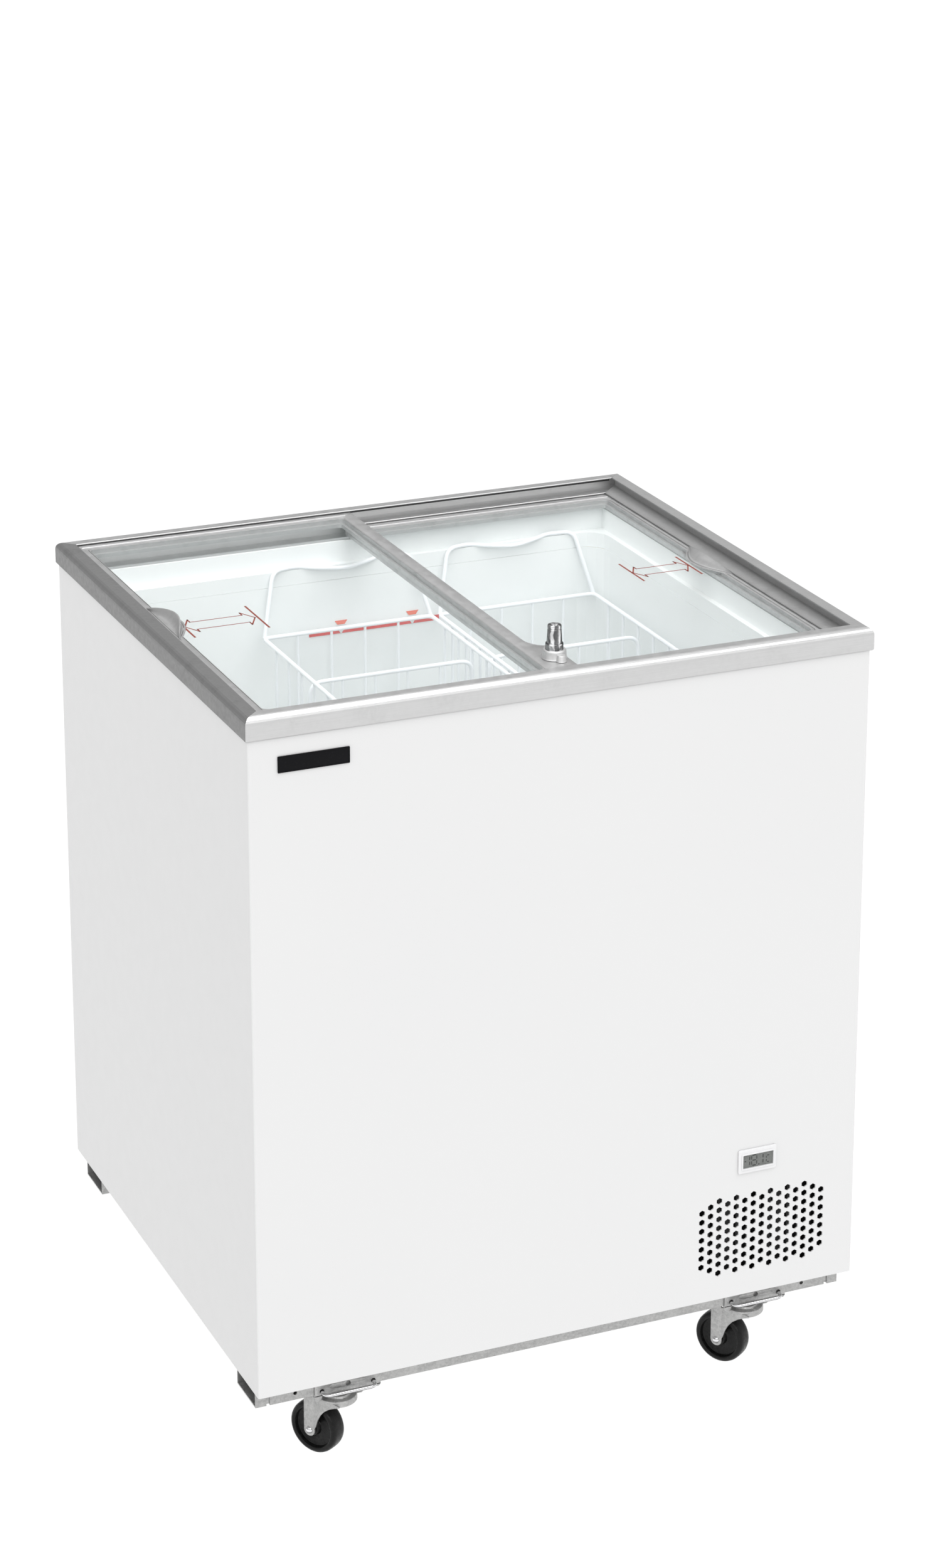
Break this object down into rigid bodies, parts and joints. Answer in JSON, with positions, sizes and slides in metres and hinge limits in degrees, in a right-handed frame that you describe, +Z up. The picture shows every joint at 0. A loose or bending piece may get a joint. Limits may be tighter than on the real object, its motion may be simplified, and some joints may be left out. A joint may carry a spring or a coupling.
{
  "type": "chest display freezer",
  "caption": "White chest freezer for wrapped ice cream: flat sliding glass lids in an aluminium rim, wire baskets in a deep tub, key lock, vent grid and castors.",
  "frame": {"origin": "on the floor, under the middle of the cabinet's outer box", "axes": "+Z up, front towards -Y, +X to the right of someone standing in front"},
  "size_m": [0.72, 0.64, 0.9139],
  "materials": {
    "white_enamel": "smooth white coating on steel sheet",
    "white_plastic": "fine matte white moulding",
    "white_wire": "white coating on wire",
    "satin_aluminium": "satin anodised, drawn along its length",
    "grey_plastic": "light grey, satin",
    "glass": "clear tempered, faintly green",
    "chrome": "polished plating",
    "galvanised": "dull zinc with a faint spangle",
    "black_plastic": "black moulding, satin",
    "black_paint": "black paint",
    "lcd": "clear window over a grey-green display",
    "foam": "foamed in place",
    "copper": "drawn copper tube"
  },
  "bodies": {
    "cabinet": {"outer_casing": "white_enamel", "rear_panel": "white_enamel", "base_pan": "galvanised", "inner_liner": "white_plastic", "liner_collar": "white_plastic", "insulation_foam": "foam", "evaporator_coil": "copper", "rim_front": "satin_aluminium", "rim_rear": "satin_aluminium", "rim_left": "satin_aluminium", "rim_right": "satin_aluminium", "nameplate": "black_plastic", "thermometer_bezel": "white_plastic", "thermometer_display": "lcd", "front_channel": "galvanised", "rear_channel": "galvanised", "castor_bracket_front_left": "galvanised", "castor_bracket_front_right": "galvanised", "castor_bracket_rear_left": "galvanised", "castor_bracket_rear_right": "galvanised", "compressor": "black_paint", "compressor_terminal_box": "black_plastic", "condenser": "black_paint", "fan_motor": "black_paint", "discharge_line": "copper", "filter_drier": "copper", "rear_grille": "black_paint", "mains_gland": "black_plastic", "thermostat_body": "white_plastic"},
    "left_lid": {"left_lid_frame": "grey_plastic", "left_lid_glass": "glass", "left_lid_handle": "grey_plastic", "lock_boss": "grey_plastic", "lock_collar": "chrome"},
    "right_lid": {"right_lid_frame": "grey_plastic", "right_lid_glass": "glass", "right_lid_handle": "grey_plastic"},
    "lock_plunger": {"lock_plunger": "chrome"},
    "lock_rotor": {"lock_rotor": "chrome"},
    "left_basket": {"left_basket": "white_wire", "left_basket_divider": "white_wire"},
    "right_basket": {"right_basket": "white_wire", "right_basket_divider": "white_wire"},
    "left_castor_pin": {"castor_pin_left": "chrome"},
    "right_castor_pin": {"castor_pin_right": "chrome"},
    "fan_blade": {"fan_blade": "black_plastic"},
    "thermostat_knob": {"thermostat_knob": "black_plastic"},
    "front_left_castor_fork": {"castor_fork_front_left": "galvanised", "castor_axle_front_left": "galvanised"},
    "front_left_castor_wheel": {"castor_wheel_front_left": "black_plastic"},
    "front_right_castor_fork": {"castor_fork_front_right": "galvanised", "castor_axle_front_right": "galvanised"},
    "front_right_castor_wheel": {"castor_wheel_front_right": "black_plastic"},
    "rear_left_castor_fork": {"castor_fork_rear_left": "galvanised", "castor_axle_rear_left": "galvanised"},
    "rear_left_castor_wheel": {"castor_wheel_rear_left": "black_plastic"},
    "rear_right_castor_fork": {"castor_fork_rear_right": "galvanised", "castor_axle_rear_right": "galvanised"},
    "rear_right_castor_wheel": {"castor_wheel_rear_right": "black_plastic"}
  },
  "joints": [
    {"name": "left_lid_slide", "type": "slide", "parent": "cabinet", "child": "left_lid", "axis": [1, 0, 0], "range_m": [0, 0.3]},
    {"name": "right_lid_slide", "type": "slide", "parent": "cabinet", "child": "right_lid", "axis": [1, 0, 0], "range_m": [-0.3, 0]},
    {"name": "lock_press", "type": "slide", "parent": "left_lid", "child": "lock_plunger", "axis": [0, 0, -1], "range_m": [0, 0.008], "stiffness_N_per_m": 400, "springref_m": -0.006},
    {"name": "lock_key_turn", "type": "hinge", "parent": "lock_plunger", "child": "lock_rotor", "pos_m": [0.0063, -0.265, 0.9135], "axis": [0, 0, 1], "range_deg": [0, 90]},
    {"name": "left_basket_lift", "type": "slide", "parent": "cabinet", "child": "left_basket", "axis": [0, 0, 1], "range_m": [0, 0.018]},
    {"name": "right_basket_lift", "type": "slide", "parent": "cabinet", "child": "right_basket", "axis": [0, 0, 1], "range_m": [0, 0.018]},
    {"name": "left_castor_pin_pull", "type": "slide", "parent": "cabinet", "child": "left_castor_pin", "axis": [0, -1, 0], "range_m": [0, 0.036]},
    {"name": "right_castor_pin_pull", "type": "slide", "parent": "cabinet", "child": "right_castor_pin", "axis": [0, -1, 0], "range_m": [0, 0.036]},
    {"name": "fan_spin", "type": "hinge", "parent": "cabinet", "child": "fan_blade", "pos_m": [0.252, -0.2425, 0.185], "axis": [0, 1, 0], "continuous": true},
    {"name": "thermostat_turn", "type": "hinge", "parent": "cabinet", "child": "thermostat_knob", "pos_m": [0.19, 0.3045, 0.315], "axis": [0, 1, 0], "range_deg": [0, 270]},
    {"name": "front_left_swivel", "type": "hinge", "parent": "cabinet", "child": "front_left_castor_fork", "pos_m": [-0.2568, -0.287, 0.0819], "axis": [0, 0, 1], "continuous": true},
    {"name": "front_left_wheel_spin", "type": "hinge", "parent": "front_left_castor_fork", "child": "front_left_castor_wheel", "pos_m": [-0.27077, -0.26507, 0.0305], "axis": [-0.8434, -0.5373, 0], "continuous": true},
    {"name": "front_right_swivel", "type": "hinge", "parent": "cabinet", "child": "front_right_castor_fork", "pos_m": [0.2372, -0.287, 0.0819], "axis": [0, 0, 1], "continuous": true},
    {"name": "front_right_wheel_spin", "type": "hinge", "parent": "front_right_castor_fork", "child": "front_right_castor_wheel", "pos_m": [0.22285, -0.26532, 0.0305], "axis": [-0.8339, -0.5519, 0], "continuous": true},
    {"name": "rear_left_swivel", "type": "hinge", "parent": "cabinet", "child": "rear_left_castor_fork", "pos_m": [-0.2372, 0.287, 0.0819], "axis": [0, 0, 1], "continuous": true},
    {"name": "rear_left_wheel_spin", "type": "hinge", "parent": "rear_left_castor_fork", "child": "rear_left_castor_wheel", "pos_m": [-0.24609, 0.26257, 0.0305], "axis": [0.9397, -0.342, 0], "continuous": true},
    {"name": "rear_right_swivel", "type": "hinge", "parent": "cabinet", "child": "rear_right_castor_fork", "pos_m": [0.2568, 0.287, 0.0819], "axis": [0, 0, 1], "continuous": true},
    {"name": "rear_right_wheel_spin", "type": "hinge", "parent": "rear_right_castor_fork", "child": "rear_right_castor_wheel", "pos_m": [0.26176, 0.26148, 0.0305], "axis": [0.9816, 0.1908, 0], "continuous": true}
  ]
}
